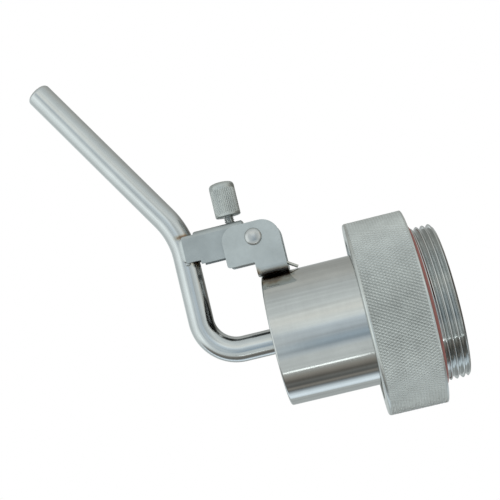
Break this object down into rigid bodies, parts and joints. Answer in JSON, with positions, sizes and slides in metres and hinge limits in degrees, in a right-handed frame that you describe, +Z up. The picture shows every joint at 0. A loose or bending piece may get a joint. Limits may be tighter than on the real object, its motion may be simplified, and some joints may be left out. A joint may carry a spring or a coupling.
{
  "type": "drum tap",
  "caption": "Self-closing drum tap: bent lever opens a valve in a swivelling outlet tube, with a knurled threaded ring and a lock screw.",
  "frame": {"origin": "on the tap's axis, in the plane of the gasket's drum-side face, where the thread starts", "axes": "+X along the thread into the drum, +Z up in the handle's plane, +Y across"},
  "size_m": [0.1432, 0.075, 0.1579],
  "materials": {
    "ring_steel": "knurled, matte",
    "tube_steel": "satin, turned along the axis",
    "turned_steel": "fine turned",
    "sheet_steel": "matte sheet",
    "polished_rod": "polished bar",
    "knob_steel": "knurled, matte",
    "spring_steel": "drawn wire",
    "red_rubber": "matte",
    "black_rubber": "matte",
    "seal_rubber": "matte",
    "slip_plastic": "matte",
    "brass": "turned"
  },
  "bodies": {
    "drum_fitting": {"threaded_ring": "ring_steel", "drum_gasket": "red_rubber", "swivel_o_rings": "black_rubber", "swivel_washer": "slip_plastic"},
    "tap_body": {"body_tube": "tube_steel", "stop_collar": "turned_steel", "seat_ring": "turned_steel", "guide_spider": "turned_steel", "pivot_bracket": "sheet_steel", "lock_stop_plate": "sheet_steel", "pivot_bush": "turned_steel", "pivot_rivet": "turned_steel", "torsion_spring": "spring_steel"},
    "lever": {"lever_rod": "polished_rod", "lever_channel": "sheet_steel", "cross_pin": "turned_steel", "screw_boss": "turned_steel"},
    "valve": {"stem_fork": "turned_steel", "valve_stem": "turned_steel", "pilot_washer": "turned_steel", "valve_seal": "seal_rubber", "valve_disc": "turned_steel", "stem_lock_washer": "turned_steel", "stem_nut": "turned_steel"},
    "lock_pad": {"lock_screw_pad": "brass"},
    "lock_screw": {"lock_screw_knob": "knob_steel", "lock_screw_shank": "turned_steel"}
  },
  "joints": [
    {"name": "outlet_swivel", "type": "hinge", "parent": "drum_fitting", "child": "tap_body", "pos_m": [0, 0, 0], "axis": [1, 0, 0], "continuous": true},
    {"name": "lever_pivot", "type": "hinge", "parent": "tap_body", "child": "lever", "pos_m": [-0.058, 0, 0.0408], "axis": [0, -1, 0], "range_deg": [0, 13], "stiffness_Nm_per_rad": 0.3, "springref_deg": -34.38, "deforming": ["torsion_spring"]},
    {"name": "valve_lift", "type": "slide", "parent": "tap_body", "child": "valve", "axis": [1, 0, 0], "range_m": [0, 0.009]},
    {"name": "lock_screw_travel", "type": "slide", "parent": "lever", "child": "lock_pad", "axis": [0, 0, 1], "range_m": [-0.00056, 0.00553]},
    {"name": "lock_screw_spin", "type": "hinge", "parent": "lock_pad", "child": "lock_screw", "pos_m": [-0.0661, 0, 0.0365], "axis": [0, 0, 1], "range_deg": [-289, 2845]}
  ],
  "couplings": [
    {"joint": "valve_lift", "follows": "lever_pivot", "m_per_rad": 0.03922},
    {"joint": "lock_screw_spin", "follows": "lock_screw_travel", "rad_per_m": 8976}
  ]
}
